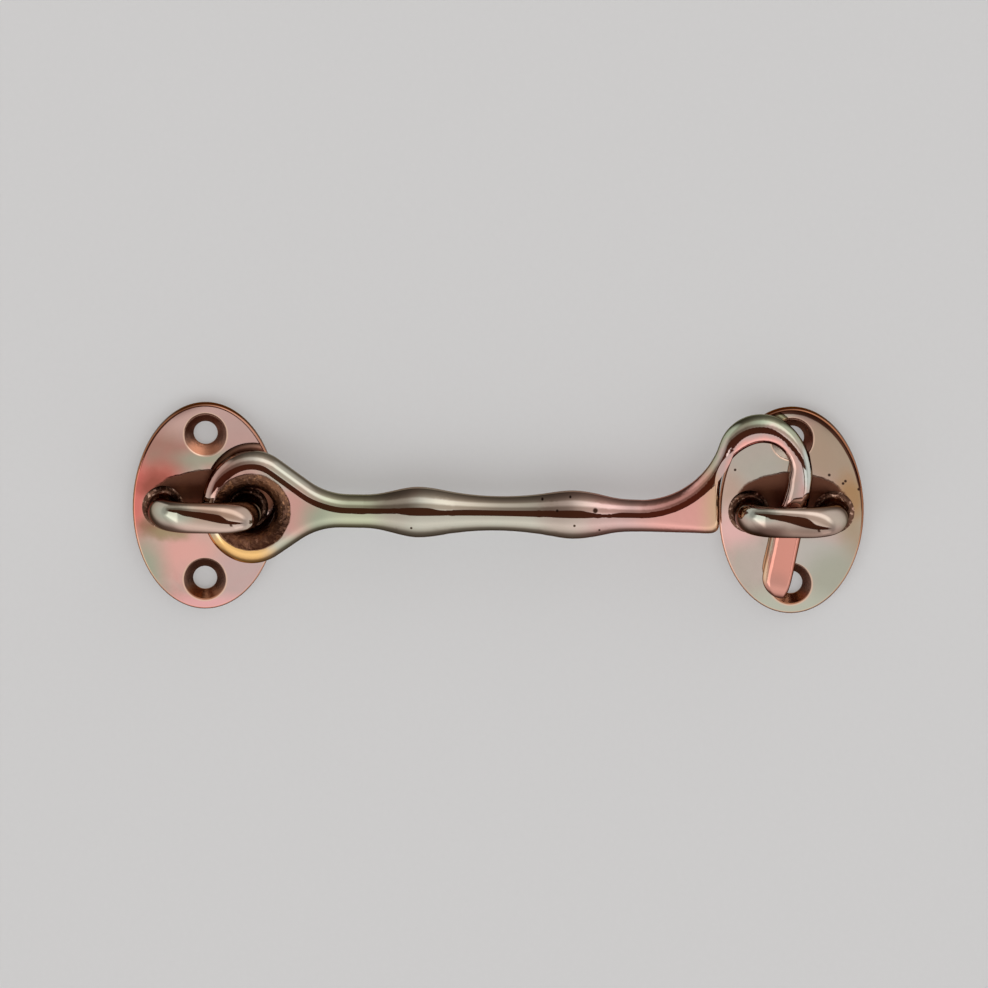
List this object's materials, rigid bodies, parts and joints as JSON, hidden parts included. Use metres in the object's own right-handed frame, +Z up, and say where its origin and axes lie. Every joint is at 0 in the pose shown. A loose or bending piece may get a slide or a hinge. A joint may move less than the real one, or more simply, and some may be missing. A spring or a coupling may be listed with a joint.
{
  "type": "cabin hook",
  "caption": "Wall-mounted cabin hook: a cast arm with a knuckled shank swings on a staple riveted to an oval plate and hooks into a matching staple on a keeper plate.",
  "frame": {"origin": "centre of the pivot plate's back face, on the wall", "axes": "+X along the arm from the pivot plate to the keeper plate, +Y into the wall, +Z up"},
  "size_m": [0.1523, 0.0174, 0.0436],
  "materials": {
    "plate_brass": "polished casting with a thin pink and green heat bloom",
    "staple_brass": "polished bar with a beige heat bloom",
    "arm_brass": "polished casting with a pink, beige and green heat bloom, rough in the dished eye"
  },
  "bodies": {
    "fixings": {"pivot_plate": "plate_brass", "pivot_staple": "staple_brass", "keeper_plate": "plate_brass", "keeper_staple": "staple_brass"},
    "arm": {"hook_arm": "arm_brass"}
  },
  "joints": [
    {"name": "arm_lift", "type": "hinge", "parent": "fixings", "child": "arm", "pos_m": [0.00865, -0.0071, 0], "axis": [0, -1, 0], "range_deg": [-5, 130]}
  ]
}
